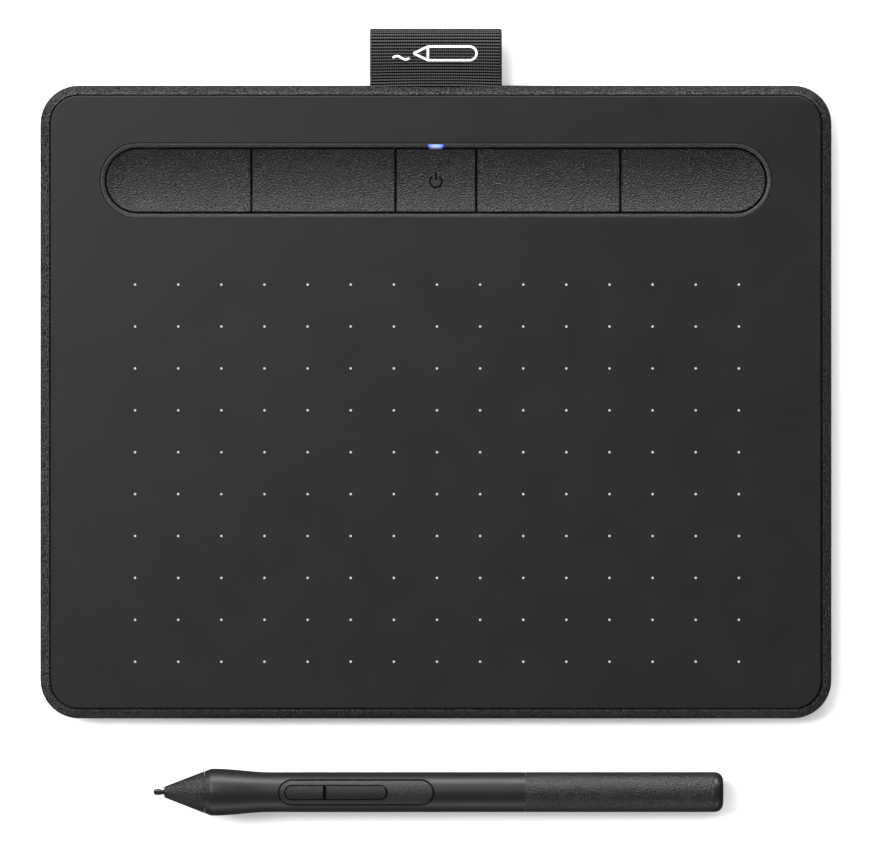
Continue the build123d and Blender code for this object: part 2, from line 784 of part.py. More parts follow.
nib_rear = 17.0
with BuildPart() as nib:
    with BuildSketch(pen_side):
        with BuildLine():
            tip = RadiusArc((0, 0), (0.75, nib_head_radius), nib_head_radius)
            Polyline(
                tip @ 1,
                (1.75, nib_head_radius),
                (2.05, nib_radius),
                (nib_rear, nib_radius),
                (nib_rear, 0),
                (0, 0),
            )
        make_face()
    revolve(axis=pen_axis)
write(nib.part, "nib")

write(
    turned([(15.2, nib_radius), (15.2, 1.8), (18.2, 1.8), (18.2, 0), (nib_rear, 0), (nib_rear, nib_radius)]),
    "nib_holder",
)
write(turned([(5.2, 0.9), (5.2, 1.6), (14.8, 1.6), (14.8, 0.9)]), "ferrite_core")
write(turned([(8.0, 1.6), (8.0, 2.3), (13.6, 2.3), (13.6, 1.6)]), "antenna_coil")
write(
    turned(
        [(13.8, 1.6), (13.8, 3.2), (sensor_front, 3.2), (sensor_front, 2.4), (14.8, 2.4), (14.8, 1.6)]
    ),
    "coil_carrier",
)
write(
    turned([(sensor_front, 0), (sensor_front, 3.9), (frame_front, 3.9), (frame_front, 0)]),
    "pressure_sensor",
)

# ---- pen: front barrel with its flared grip -----------------------------------------------------------
with BuildPart() as grip_barrel:
    with BuildSketch(pen_side):
        with BuildLine():
            flare_back = 16.3
            cone_end = 14.35
            shoulder = Polyline(
                (nose_end + 0.08, bore_radius),
                (nose_end + 0.08, nose_back_radius),
                (cone_end, nose_back_radius + nose_slope * (cone_end - nose_end)),
            )
            crown = Spline(
                shoulder @ 1,
                (flare_station, pen_flare_radius),
                (25.4, 5.22),
                (38.0, pen_radius),
                tangents=[(1, nose_slope), (1, 0)],
            )
            Polyline(
                crown @ 1,
                (rear_seam - 0.1, pen_radius),
                (rear_seam - 0.1, bore_radius),
                shoulder @ 0,
            )
        make_face()
    revolve(axis=pen_axis)
    # pocket that the side-switch plate drops into
    with BuildSketch(pen_top):
        with Locations((plate_centre, 0)):
            SlotOverall(plate_length + 2 * plate_clearance, plate_width + 2 * plate_clearance)
    extrude(amount=pen_radius + 2, mode=Mode.SUBTRACT)
write(grip_barrel.part, "grip_barrel")


def under_cylinder(radius):
    """A long cylinder round the pen's axis, used to round a raised piece's top."""
    with BuildPart() as cylinder:
        with BuildSketch(pen_end):
            Circle(radius)
        extrude(amount=pen_length)
    return cylinder.part


with BuildPart() as switch_plate:
    with BuildSketch(pen_top.offset(plate_bottom)):
        with Locations((plate_centre, 0)):
            SlotOverall(plate_length, plate_width)
        with Locations(((button_slot_start + button_slot_end) / 2, 0)):
            SlotOverall(button_slot_end - button_slot_start, button_slot_width, mode=Mode.SUBTRACT)
    extrude(amount=4)
    add(under_cylinder(plate_radius), mode=Mode.INTERSECT)
    chamfer(switch_plate.faces().sort_by(Axis.Z)[-1].outer_wire().edges(), pen_edge_break)
write(switch_plate.part, "switch_plate")

button_spans = {
    "front": (button_slot_start, button_split),
    "rear": (button_split, button_slot_end),
}
for button_name, (button_from, button_to) in button_spans.items():
    button_centre = (button_from + button_to) / 2
    with BuildPart() as button:
        with BuildSketch(pen_top.offset(plate_bottom - 0.1)):
            with Locations(((button_slot_start + button_slot_end) / 2, 0)):
                SlotOverall(
                    button_slot_end - button_slot_start - 2 * button_clearance,
                    button_slot_width - 2 * button_clearance,
                )
            with Locations((button_centre, 0)):
                Rectangle(
                    button_to - button_from - 2 * button_clearance,
                    button_slot_width,
                    mode=Mode.INTERSECT,
                )
        extrude(amount=4)
        add(under_cylinder(button_radius), mode=Mode.INTERSECT)
        chamfer(button.faces().sort_by(Axis.Z)[-1].edges(), pen_edge_break)
        # side flanges that keep the button in, and the plunger that meets its switch
        with BuildSketch(pen_top.offset(plate_bottom - 0.1)):
            with Locations((button_centre, 0)):
                Rectangle(button_to - button_from - 3.0, button_slot_width + 0.4)
        extrude(amount=-0.35)
        with BuildSketch(pen_top.offset(pen_stem_top)):
            with Locations((button_centre, 0)):
                Circle(1.0)
        extrude(amount=plate_bottom - 0.1 - pen_stem_top)
    write(button.part, f"{button_name}_side_button")
    with BuildPart() as button_stem:
        with BuildSketch(pen_top.offset(pen_stem_top)):
            with Locations((button_centre, 0)):
                Circle(0.7)
        extrude(amount=-1.0)
    write(button_stem.part, f"{button_name}_button_stem")

# ---- pen: inner frame and electronics --------------------------------------------------------------------
board_seat = pen_board_top - pen_board_thickness
with BuildPart() as pen_frame:
    with BuildSketch(pen_end.offset(frame_front)):
        Circle(bore_radius - 0.1)
        Circle(bore_radius - 0.95, mode=Mode.SUBTRACT)
        with Locations((0, board_seat + bore_radius)):
            Rectangle(2 * bore_radius, 2 * bore_radius, mode=Mode.SUBTRACT)
    extrude(amount=frame_rear - frame_front)
    # solid ends and a middle web stiffen the trough
    for web_station in (frame_front, (frame_front + frame_rear) / 2, frame_rear - 2.0):
        with BuildSketch(pen_end.offset(web_station)):
            Circle(bore_radius - 0.5)
            with Locations((0, board_seat + bore_radius)):
                Rectangle(2 * bore_radius, 2 * bore_radius, mode=Mode.SUBTRACT)
        extrude(amount=2.0)
write(pen_frame.part, "pen_frame")

with BuildPart() as pen_board:
    with BuildSketch(pen_top.offset(board_seat)):
        with Locations(((frame_front + frame_rear) / 2, 0)):
            Rectangle(frame_rear - frame_front - 2.0, 7.0)
    extrude(amount=pen_board_thickness)
write(pen_board.part, "pen_board")

with BuildPart() as pen_switches:
    for button_from, button_to in button_spans.values():
        with BuildSketch(pen_top.offset(pen_board_top)):
            with Locations(((button_from + button_to) / 2, 0)):
                Rectangle(4.4, 3.4)
        extrude(amount=1.0)
        with BuildSketch(pen_top.offset(pen_board_top + 0.08)):
            with Locations(((button_from + button_to) / 2, 0)):
                Circle(0.95)
        extrude(amount=1.0, mode=Mode.SUBTRACT)
write(pen_switches.part, "pen_switches")

with BuildPart() as pen_chip:
    with BuildSketch(pen_top.offset(pen_board_top)):
        with Locations((68.0, 0)):
            Rectangle(5.0, 5.0)
    extrude(amount=0.9)
write(pen_chip.part, "pen_chip")

# ---- pen: spare nibs in their holder, under the pull-off rear barrel --------------------------------
seam_collar_inset = 0.15
seam_collar_thickness = 0.15
spare_nib_circle = 2.3
spare_nib_start = 105.0
spare_nib_length = 14.3
with BuildPart() as spare_nib_holder:
    with BuildSketch(pen_end.offset(frame_rear)):
        Circle(bore_radius - 0.1)
    extrude(amount=rear_seam - 0.1 - frame_rear)
    with BuildSketch(pen_end.offset(rear_seam - 0.1)):
        Circle(bore_radius - 0.2)
    extrude(amount=holder_rear - rear_seam + 0.1)
    # collar in the seam, against the front barrel's end
    with BuildSketch(pen_end.offset(rear_seam - 0.1)):
        Circle(pen_radius - seam_collar_inset)
    extrude(amount=seam_collar_thickness)
    # raised snap rib that the rear barrel clicks over
    with BuildSketch(pen_end.offset(97.0)):
        Circle(bore_radius)
    extrude(amount=1.0)
    with BuildSketch(pen_end.offset(holder_rear)):
        with PolarLocations(spare_nib_circle, 3):
            Circle(nib_radius + 0.1)
    extrude(amount=spare_nib_start - holder_rear, mode=Mode.SUBTRACT)
write(spare_nib_holder.part, "spare_nib_holder")

with BuildPart() as spare_nibs:
    with BuildSketch(pen_end.offset(spare_nib_start)):
        with PolarLocations(spare_nib_circle, 3):
            Circle(nib_radius)
    extrude(amount=spare_nib_length)
    fillet(spare_nibs.faces().sort_by(pen_axis)[-3:].edges(), nib_radius * 0.7)
write(spare_nibs.part, "spare_nibs")

rear_bore_radius = bore_radius + 0.1
write(
    turned(
        [
            (rear_seam + 0.1, rear_bore_radius),
            (rear_seam + 0.1, pen_radius),
            (cap_seam - 0.05, pen_radius),
            (cap_seam - 0.05, rear_bore_radius),
        ]
    ),
    "rear_barrel",
)

cap_fillet = 2.1
with BuildPart() as end_cap:
    with BuildSketch(pen_side):
        with BuildLine():
            rounded_edge = ThreePointArc(
                (cap_seam + 0.1, pen_radius),
                (
                    rear_end - cap_fillet * (1 - math.sqrt(0.5)),
                    pen_radius - cap_fillet * (1 - math.sqrt(0.5)),
                ),
                (rear_end, pen_radius - cap_fillet),
            )
            Polyline(
                rounded_edge @ 1,
                (rear_end, 0),
                (138.0, 0),
                (138.0, rear_bore_radius - 0.05),
                (cap_seam, rear_bore_radius - 0.05),
                (cap_seam, pen_radius),
                rounded_edge @ 0,
            )
        make_face()
    revolve(axis=pen_axis)
    # the hole used to pull a worn nib out
    with BuildSketch(pen_end.offset(rear_end)):
        Circle(nib_radius + 0.2)
    extrude(amount=-4.0, mode=Mode.SUBTRACT)
write(end_cap.part, "end_cap")
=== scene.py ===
"""The looks of a pen drawing tablet and its pen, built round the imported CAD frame."""

import json
import math

import bmesh
import bpy
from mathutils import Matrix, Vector


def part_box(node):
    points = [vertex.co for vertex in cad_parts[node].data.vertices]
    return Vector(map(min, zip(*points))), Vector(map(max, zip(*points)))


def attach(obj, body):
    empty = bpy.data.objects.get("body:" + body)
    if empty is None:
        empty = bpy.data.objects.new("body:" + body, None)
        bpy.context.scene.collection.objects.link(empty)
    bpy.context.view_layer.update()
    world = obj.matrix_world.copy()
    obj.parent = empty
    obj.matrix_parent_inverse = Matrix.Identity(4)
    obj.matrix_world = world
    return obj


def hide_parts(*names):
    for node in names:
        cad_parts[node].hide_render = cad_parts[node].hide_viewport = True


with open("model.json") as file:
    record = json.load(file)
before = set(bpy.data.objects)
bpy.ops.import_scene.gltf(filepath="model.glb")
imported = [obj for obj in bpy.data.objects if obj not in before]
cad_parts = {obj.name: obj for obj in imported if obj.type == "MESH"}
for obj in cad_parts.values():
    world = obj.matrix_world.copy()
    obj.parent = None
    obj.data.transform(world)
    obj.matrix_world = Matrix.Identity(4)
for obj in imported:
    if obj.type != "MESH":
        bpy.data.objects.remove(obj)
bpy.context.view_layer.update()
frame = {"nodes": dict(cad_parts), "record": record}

MM = 0.001
case_low, case_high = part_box("bottom_case")
cover_low, cover_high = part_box("top_cover")
loop_low, loop_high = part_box("pen_loop")
tablet_x = (case_low.x + case_high.x) / 2
tablet_y = (case_low.y + case_high.y) / 2


# ---- shader building ------------------------------------------------------------------------
class Shader:
    """One node material, with short calls for the nodes that the materials below share."""

    def __init__(self, name, colour, roughness, metallic=0.0, specular=0.5):
        self.material = bpy.data.materials.new(name)
        self.material.use_nodes = True
        self.tree = self.material.node_tree
        self.surface = self.tree.nodes["Principled BSDF"]
        self.surface.inputs["Base Color"].default_value = (*colour, 1)
        self.surface.inputs["Roughness"].default_value = roughness
        self.surface.inputs["Metallic"].default_value = metallic
        self.surface.inputs["Specular IOR Level"].default_value = specular
        self.place = self.tree.nodes.new("ShaderNodeTexCoord").outputs["Object"]
        self.normal = None

    def node(self, kind, **values):
        made = self.tree.nodes.new(kind)
        for name, value in values.items():
            setattr(made, name, value)
        return made

    def link(self, source, target):
        self.tree.links.new(source, target)

    def stretched(self, x=1.0, y=1.0, z=1.0):
        """The place on the object, scaled along its axes."""
        mapping = self.node("ShaderNodeMapping")
        mapping.inputs["Scale"].default_value = (x, y, z)
        self.link(self.place, mapping.inputs["Vector"])
        return mapping.outputs["Vector"]

    def noise(self, size, detail=2.0, place=None):
        """Cloudy noise whose features are about size metres across."""
        made = self.node("ShaderNodeTexNoise")
        made.inputs["Scale"].default_value = 1 / size
        made.inputs["Detail"].default_value = detail
        self.link(place or self.place, made.inputs["Vector"])
        return made.outputs["Fac"]

    def cells(self, size):
        """Rounded cells about size metres across, as a spark-eroded mould leaves."""
        made = self.node("ShaderNodeTexVoronoi", feature="SMOOTH_F1")
        made.inputs["Scale"].default_value = 1 / size
        made.inputs["Smoothness"].default_value = 0.35
        self.link(self.place, made.inputs["Vector"])
        return made.outputs["Distance"]

    def spread(self, value, low, high, from_low=0.3, from_high=0.7):
        """Value remapped from its usual range to low..high."""
        made = self.node("ShaderNodeMapRange")
        for name, number in (
            ("From Min", from_low),
            ("From Max", from_high),
            ("To Min", low),
            ("To Max", high),
        ):
            made.inputs[name].default_value = number
        self.link(value, made.inputs["Value"])
        return made.outputs["Result"]

    def tint(self, value, dark, light, from_low=0.3, from_high=0.7):
        """A colour between dark and light, chosen by value."""
        ramp = self.node("ShaderNodeValToRGB")
        ramp.color_ramp.elements[0].position = from_low
        ramp.color_ramp.elements[0].color = (*dark, 1)
        ramp.color_ramp.elements[1].position = from_high
        ramp.color_ramp.elements[1].color = (*light, 1)
        self.link(value, ramp.inputs["Fac"])
        self.link(ramp.outputs["Color"], self.surface.inputs["Base Color"])

    def rough(self, value, low, high):
        """Roughness between low and high, chosen by value."""
        self.link(self.spread(value, low, high), self.surface.inputs["Roughness"])

    def matt_at_a_slant(self, square_on, slanting):
        """Gloss that fades as the surface turns away, so that a slanting view stays dark."""
        turned = self.node("ShaderNodeLayerWeight").outputs["Facing"]
        gloss = self.spread(turned, square_on, slanting, 0.08, 0.6)
        self.link(gloss, self.surface.inputs["Specular IOR Level"])

    def bump(self, height, depth, strength=1.0):
        """Adds relief of about depth metres, on top of any relief before it."""
        made = self.node("ShaderNodeBump")
        made.inputs["Distance"].default_value = depth
        made.inputs["Strength"].default_value = strength
        self.link(height, made.inputs["Height"])
        if self.normal is not None:
            self.link(self.normal, made.inputs["Normal"])
        self.normal = made.outputs["Normal"]
        self.link(self.normal, self.surface.inputs["Normal"])


def scaled(colour, factor):
    """A colour made darker or lighter, held at white."""
    return tuple(min(1.0, channel * factor) for channel in colour)


def moulded_plastic(name, colour, roughness, grain, relief, mottle, specular=0.5):
    """Smooth moulded plastic: a faint grain, mottled colour and slightly uneven gloss."""
    shader = Shader(name, colour, roughness, specular=specular)
    fine = shader.noise(grain, detail=3.0)
    broad = shader.noise(grain * 40, detail=2.0)
    shader.tint(fine, scaled(colour, 1 - mottle), scaled(colour, 1 + mottle))
    shader.rough(broad, roughness - 0.03, roughness + 0.03)
    shader.bump(broad, relief * 2, 0.2)
    shader.bump(fine, relief)
    return shader


def grained_plastic(name, dark, light, roughness, grain, relief, specular=0.5):
    """Coarsely grained plastic: raised specks painted lighter between dark pits, partly the grain's own
    tone and partly painted glints, all glinting.
    """
    shader = Shader(name, dark, roughness, specular=specular)
    specks = shader.noise(grain, detail=2.0)
    pits = shader.cells(grain * 1.3)
    # Painted glints: the specks' lighter colour stands in for light glinting off the grain, on top of the
    # grain's own tone.
    shader.tint(specks, dark, light, 0.43, 0.63)
    shader.rough(specks, roughness + 0.08, roughness - 0.04)
    shader.bump(pits, relief * 0.5)
    shader.bump(specks, relief)
    return shader


def brushed_metal(name, colour, roughness):
    """Sheet metal with fine rolling lines along X and faint stains."""
    shader = Shader(name, colour, roughness, metallic=1.0)
    lines = shader.noise(0.25 * MM, detail=3.0, place=shader.stretched(x=0.04))
    shader.tint(lines, scaled(colour, 0.8), scaled(colour, 1.1))
    shader.rough(shader.noise(6 * MM), roughness - 0.06, roughness + 0.08)
    shader.bump(lines, 0.004 * MM)
    return shader


# ---- one material for each slot of the record -------------------------------------------------
LIGHT_WINDOW_DEPTH = 0.7 * MM
LIGHT_HALF_WIDTH = 2.3 * MM
LIGHT_HALF_DEPTH = 0.75 * MM
RIB_ATTRIBUTE = "rib_height"
WARP_PITCH = 0.55 * MM
WAVES_PER_SCALE = 0.314
COVER_GLOSS = 0.41
COVER_GLOSS_AT_A_SLANT = 0.06


def case_plastic():
    return grained_plastic(
        "case_plastic", (0.001, 0.001, 0.001), (0.042, 0.041, 0.0415),
        0.38, 0.42 * MM, 0.28 * MM, specular=0.3,
    )


def cover_plastic():
    shader = moulded_plastic(
        "cover_plastic", (0.0045, 0.0042, 0.0043), 0.43, 0.3 * MM, 0.008 * MM, 0.2, specular=COVER_GLOSS
    )
    shader.matt_at_a_slant(COVER_GLOSS, COVER_GLOSS_AT_A_SLANT)
    return shader


def bezel_plastic():
    return grained_plastic(
        "bezel_plastic", (0.004, 0.004, 0.004), (0.027, 0.026, 0.027), 0.38, 0.30 * MM, 0.10 * MM
    )


def key_plastic():
    return grained_plastic(
        "key_plastic", (0.0005, 0.0005, 0.0005), (0.007, 0.0068, 0.007), 0.30, 0.31 * MM, 0.25 * MM
    )


def light_pipe():
    """Clear plastic lit from below: a pale core that turns deep blue towards its edges."""
    shader = Shader("light_pipe", (0.05, 0.07, 0.3), 0.25)
    low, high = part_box("led_light_pipe")
    middle = (low + high) / 2
    mapping = shader.node("ShaderNodeMapping")
    mapping.inputs["Scale"].default_value = (1 / LIGHT_HALF_WIDTH, 1 / LIGHT_HALF_DEPTH, 0)
    mapping.inputs["Location"].default_value = (
        -middle.x / LIGHT_HALF_WIDTH,
        -(low.y + LIGHT_WINDOW_DEPTH / 2) / LIGHT_HALF_DEPTH,
        0,
    )
    shader.link(shader.place, mapping.inputs["Vector"])
    glow = shader.node("ShaderNodeTexGradient", gradient_type="SPHERICAL")
    shader.link(mapping.outputs["Vector"], glow.inputs["Vector"])
    ramp = shader.node("ShaderNodeValToRGB")
    for element, place, colour in zip(
        ramp.color_ramp.elements,
        (0.16, 0.62),
        ((0.012, 0.03, 0.55), (0.36, 0.5, 1.0)),
    ):
        element.position = place
        element.color = (*colour, 1)
    shader.link(glow.outputs["Fac"], ramp.inputs["Fac"])
    shader.link(ramp.outputs["Color"], shader.surface.inputs["Emission Color"])
    shader.surface.inputs["Emission Strength"].default_value = 1.0
    shader.bump(shader.noise(1.2 * MM), 0.01 * MM)
    return shader


def switch_stem():
    return moulded_plastic("switch_stem", (0.05, 0.05, 0.05), 0.45, 0.2 * MM, 0.004 * MM, 0.1)


def circuit_board():
    """Black solder mask with copper tracks faintly showing through it."""
    mask = (0.012, 0.016, 0.014)
    shader = Shader("circuit_board", mask, 0.38)
    tracks = shader.node("ShaderNodeTexBrick")
    tracks.inputs["Scale"].default_value = 180
    tracks.inputs["Color1"].default_value = (*mask, 1)
    tracks.inputs["Color2"].default_value = (0.009, 0.012, 0.010, 1)
    tracks.inputs["Mortar"].default_value = (0.022, 0.028, 0.022, 1)
    tracks.inputs["Mortar Size"].default_value = 0.04
    shader.link(shader.place, tracks.inputs["Vector"])
    shader.link(tracks.outputs["Color"], shader.surface.inputs["Base Color"])
    shader.bump(tracks.outputs["Fac"], 0.03 * MM)
    return shader


def switch_body():
    return brushed_metal("switch_body", (0.6, 0.6, 0.6), 0.35)


def chip_black():
    return moulded_plastic("chip_black", (0.02, 0.02, 0.02), 0.5, 0.15 * MM, 0.006 * MM, 0.15)


def module_can():
    return brushed_metal("module_can", (0.6, 0.6, 0.57), 0.3)


def capacitor_body():
    return moulded_plastic("capacitor_body", (0.35, 0.22, 0.12), 0.4, 0.2 * MM, 0.003 * MM, 0.12)


def led_body():
    return moulded_plastic("led_body", (0.85, 0.85, 0.8), 0.3, 0.2 * MM, 0.002 * MM, 0.03)


def port_shell():
    return brushed_metal("port_shell", (0.62, 0.62, 0.6), 0.28)


def shield_steel():
    return brushed_metal("shield_steel", (0.52, 0.52, 0.52), 0.32)


def connector_plastic():
    return moulded_plastic("connector_plastic", (0.03, 0.03, 0.03), 0.4, 0.2 * MM, 0.004 * MM, 0.15)


def flex_film():
    return moulded_plastic("flex_film", (0.03, 0.025, 0.02), 0.25, 0.4 * MM, 0.002 * MM, 0.15)


def battery_foil():
    """A foil pouch, faintly crinkled."""
    shader = brushed_metal("battery_foil", (0.65, 0.66, 0.68), 0.38)
    shader.bump(shader.noise(7 * MM, detail=4.0), 0.3 * MM, 0.5)
    return shader


def foam_tape():
    return grained_plastic("foam_tape", (0.06, 0.06, 0.06), (0.14, 0.14, 0.14), 0.85, 0.5 * MM, 0.05 * MM)


def lead_red():
    return moulded_plastic("lead_red", (0.35, 0.015, 0.015), 0.35, 0.3 * MM, 0.004 * MM, 0.08)


def lead_black():
    return moulded_plastic("lead_black", (0.02, 0.02, 0.02), 0.35, 0.3 * MM, 0.004 * MM, 0.08)


def foot_rubber():
    return grained_plastic(
        "foot_rubber", (0.02, 0.02, 0.02), (0.045, 0.045, 0.045), 0.78, 0.35 * MM, 0.03 * MM
    )


def screw_steel():
    return brushed_metal("screw_steel", (0.16, 0.16, 0.165), 0.35)


def ribbon_fabric():
    """Ribbed ribbon: warp threads across the ribs, with rib crowns painted grey as painted light and
    grooves painted black as painted shade, set by rib height.
    """
    shader = Shader("ribbon_fabric", (0.012, 0.012, 0.0125), 0.8, specular=0.04)
    warp = shader.node("ShaderNodeTexWave", bands_direction="X")
    warp.inputs["Scale"].default_value = WAVES_PER_SCALE / WARP_PITCH
    warp.inputs["Distortion"].default_value = 2.2
    warp.inputs["Detail Scale"].default_value = 0.6
    shader.link(shader.place, warp.inputs["Vector"])
    threads = warp.outputs["Fac"]
    slubs = shader.noise(1.6 * MM, detail=2.0, place=shader.stretched(x=0.3))
    crown = shader.node("ShaderNodeAttribute", attribute_name=RIB_ATTRIBUTE).outputs["Fac"]
    # Painted light and shade: the colour follows rib height, grey on the crowns and near black in the
    # grooves, times the warp thread pattern.
    threads_and_groove_shade = shader.node("ShaderNodeMath", operation="MULTIPLY")
    shader.link(shader.spread(threads, 0.30, 1.0, 0.1, 0.9), threads_and_groove_shade.inputs[0])
    shader.link(shader.spread(crown, 0.0, 1.0, 0.6, 0.98), threads_and_groove_shade.inputs[1])
    shader.tint(threads_and_groove_shade.outputs["Value"], (0.0008, 0.0008, 0.0008), (0.078, 0.075, 0.075), 0.0, 1.0)
    shader.rough(slubs, 0.7, 0.85)
    shader.bump(threads, 0.08 * MM)
    return shader


def inner_plastic():
    return moulded_plastic("inner_plastic", (0.06, 0.06, 0.065), 0.5, 0.4 * MM, 0.008 * MM, 0.2)


def pen_grained():
    return grained_plastic(
        "pen_grained", (0.0005, 0.0005, 0.0005), (0.018, 0.018, 0.0185), 0.31, 0.29 * MM, 0.18 * MM
    )


def pen_soft():
    return moulded_plastic("pen_soft", (0.0065, 0.0065, 0.007), 0.42, 0.3 * MM, 0.01 * MM, 0.15)


def plate_plastic():
    return grained_plastic(
        "plate_plastic", (0.006, 0.006, 0.0065), (0.018, 0.018, 0.019), 0.40, 0.34 * MM, 0.05 * MM
    )


def button_plastic():
    return grained_plastic(
        "button_plastic", (0.003, 0.003, 0.0035), (0.010, 0.010, 0.0115), 0.46, 0.36 * MM, 0.06 * MM
    )


def cap_plastic():
    return moulded_plastic("cap_plastic", (0.007, 0.007, 0.0073), 0.36, 0.3 * MM, 0.03 * MM, 0.25)


def nib_plastic():
    return moulded_plastic("nib_plastic", (0.004, 0.004, 0.004), 0.24, 0.15 * MM, 0.001 * MM, 0.1)


def sensor_plastic():
    return moulded_plastic("sensor_plastic", (0.5, 0.5, 0.48), 0.4, 0.2 * MM, 0.003 * MM, 0.05)


def ferrite():
    return moulded_plastic("ferrite", (0.05, 0.05, 0.055), 0.45, 0.15 * MM, 0.006 * MM, 0.25)


def coil_copper():
    """Enamelled wire, wound in fine turns across the pen's axis."""
    shader = Shader("coil_copper", (0.55, 0.2, 0.08), 0.3, metallic=1.0)
    turns = shader.node("ShaderNodeTexWave", bands_direction="X")
    turns.inputs["Scale"].default_value = 1200
    shader.link(shader.place, turns.inputs["Vector"])
    shader.tint(turns.outputs["Fac"], (0.3, 0.09, 0.03), (0.65, 0.26, 0.1))
    shader.bump(turns.outputs["Fac"], 0.04 * MM)
    return shader


def dot_ink():
    """Pale grey screen-printed ink."""
    return moulded_plastic("dot_ink", (0.27, 0.27, 0.27), 0.6, 0.12 * MM, 0.002 * MM, 0.1)


def symbol_ink():
    """Flat black ink that fills the engraved power sign."""
    return moulded_plastic(
        "symbol_ink", (0.0015, 0.0015, 0.0015), 0.8, 0.15 * MM, 0.01 * MM, 0.2, specular=0.1
    )


def mark_thread():
    """White floss with a fine twist."""
    shader = Shader("mark_thread", (0.9, 0.9, 0.9), 0.6, specular=0.4)
    strands = shader.noise(0.16 * MM, detail=1.0, place=shader.stretched(y=0.35))
    shader.tint(strands, (0.72, 0.72, 0.73), (0.97, 0.97, 0.97))
    shader.bump(strands, 0.05 * MM)
    shader.surface.inputs["Sheen Weight"].default_value = 0.2
    return shader


slot_shaders = (
    case_plastic, cover_plastic, bezel_plastic, key_plastic, light_pipe, switch_stem, circuit_board,
    switch_body, chip_black, module_can, capacitor_body, led_body, port_shell, shield_steel,
    connector_plastic, flex_film, battery_foil, foam_tape, lead_red, lead_black, foot_rubber,
    screw_steel, ribbon_fabric, inner_plastic, pen_grained, pen_soft, plate_plastic, button_plastic,
    cap_plastic, nib_plastic, sensor_plastic, ferrite, coil_copper, dot_ink, mark_thread, symbol_ink,
)
materials = {make.__name__: make().material for make in slot_shaders}


def dress_cad_nodes():
    """Every CAD node gets its slot's material."""
    for row in frame["record"]["subparts"]:
        mesh = frame["nodes"][row["node"]].data
        mesh.materials.clear()
        mesh.materials.append(materials[row["material_slot"]])


def new_piece(name, mesh_builder, slot, body="tablet"):
    """An object made from a bmesh, riding on a CAD body and wearing a slot's material."""
    mesh = bpy.data.meshes.new(name)
    mesh_builder.to_mesh(mesh)
    mesh_builder.free()
    mesh.materials.append(materials[slot])
    piece = bpy.data.objects.new(name, mesh)
    bpy.context.scene.collection.objects.link(piece)
    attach(piece, body)
    return piece


class Route:
    """Places at even distances along a line of points."""

    def __init__(self, points):
        self.points = points
        self.marks = [0.0]
        for a, b in zip(points, points[1:]):
            self.marks.append(self.marks[-1] + (b - a).length)
        self.length = self.marks[-1]

    def at(self, distance):
        """The point at this distance, and the direction square to the line there."""
        distance = min(max(distance, 0.0), self.length)
        i = 0
        while i < len(self.marks) - 2 and self.marks[i + 1] < distance:
            i += 1
        a, b = self.points[i], self.points[i + 1]
        share = (distance - self.marks[i]) / (self.marks[i + 1] - self.marks[i])
        along = (b - a).normalized()
        return a.lerp(b, share), Vector((-along.y, along.x))


def skin_rows(mesh, rows):
    """Joins rings of points, one after another, into a closed strand with both ends shut."""
    made = []
    for row, after in zip(rows, rows[1:]):
        for i in range(len(row)):
            j = (i + 1) % len(row)
            made.append(mesh.faces.new((row[i], row[j], after[j], after[i])))
    made.append(mesh.faces.new(rows[0]))
    made.append(mesh.faces.new(reversed(rows[-1])))
    bmesh.ops.recalc_face_normals(mesh, faces=made)


# ---- printed dots on the drawing area -----------------------------------------------------------
DOT_COLUMNS = 15
DOT_ROWS = 10
DOT_PITCH_X = 10.89 * MM
DOT_PITCH_Y = 10.58 * MM
DOT_RADIUS = 0.30 * MM
DOT_SIDES = 16
DOT_GRID_DROP = 18.0 * MM
DOT_GRID_SHIFT = 0.28 * MM
INK_THICKNESS = 0.012 * MM


def printed_dots():
    """Low printed discs, each a thin domed patch of ink lying on the cover."""
    dots = bmesh.new()
    foot_z = cover_high.z - INK_THICKNESS
    rings = ((DOT_RADIUS, foot_z), (DOT_RADIUS, cover_high.z + INK_THICKNESS / 2),
             (DOT_RADIUS * 0.8, cover_high.z + INK_THICKNESS))
    for row in range(DOT_ROWS):
        for column in range(DOT_COLUMNS):
            x = tablet_x + DOT_GRID_SHIFT + (column - (DOT_COLUMNS - 1) / 2) * DOT_PITCH_X
            y = tablet_y - DOT_GRID_DROP + (row - (DOT_ROWS - 1) / 2) * DOT_PITCH_Y
            made = [
                [
                    dots.verts.new((
                        x + radius * math.cos(math.tau * side / DOT_SIDES),
                        y + radius * math.sin(math.tau * side / DOT_SIDES),
                        z,
                    ))
                    for side in range(DOT_SIDES)
                ]
                for radius, z in rings
            ]
            for lower, upper in zip(made, made[1:]):
                for side in range(DOT_SIDES):
                    after = (side + 1) % DOT_SIDES
                    dots.faces.new((lower[side], lower[after], upper[after], upper[side]))
            dots.faces.new(made[-1])
            dots.faces.new(reversed(made[0]))
    new_piece("surface_dots", dots, "dot_ink")


# ---- ink in the engraved power sign ---------------------------------------------------------------
SIGN_RADIUS = 1.5 * MM
SIGN_STROKE = 0.44 * MM
SIGN_BREAK = 1.5 * MM
SIGN_DROP = 0.2 * MM
SIGN_BAR = (0.38 * MM, 2.22 * MM)
SIGN_INK_BOTTOM = 6.72 * MM
SIGN_INK_TOP = 6.86 * MM
SIGN_RING_STEPS = 40
SIGN_BAR_STEPS = 6


